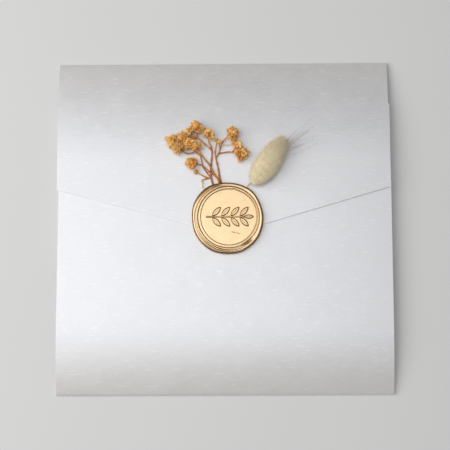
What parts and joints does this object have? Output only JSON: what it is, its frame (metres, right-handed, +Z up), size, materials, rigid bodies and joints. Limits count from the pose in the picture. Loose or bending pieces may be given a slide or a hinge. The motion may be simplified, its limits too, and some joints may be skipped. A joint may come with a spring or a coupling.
{
  "type": "pocket fold invitation",
  "caption": "Square pearl card pocket fold, closed with a gold wax seal over dried sprigs and a bunny-tail grass head.",
  "frame": {"origin": "centre of the back panel's underside, where the folder rests", "axes": "+X across the folder to the right, +Y towards the fold of the flap, +Z up out of the sealed front"},
  "size_m": [0.15, 0.15, 0.0167],
  "materials": {
    "pearl_card": "pearlescent satin card with a fine level grain",
    "insert_card": "smooth matt card",
    "envelope_paper": "matt laid paper",
    "gold_wax": "metallic gold sealing wax, smooth and shiny",
    "dried_flower": "dry amber plant stems and flower heads, matt",
    "dried_grass": "soft cream plant hairs, matt"
  },
  "bodies": {
    "root": {"pocket_folder": "pearl_card", "invitation_card": "insert_card", "details_card": "insert_card", "reply_card": "insert_card", "reply_envelope": "envelope_paper", "wax_seal": "gold_wax", "sprig_left": "dried_flower", "sprig_centre": "dried_flower", "sprig_right": "dried_flower", "bunny_tail": "dried_grass"}
  },
  "joints": []
}
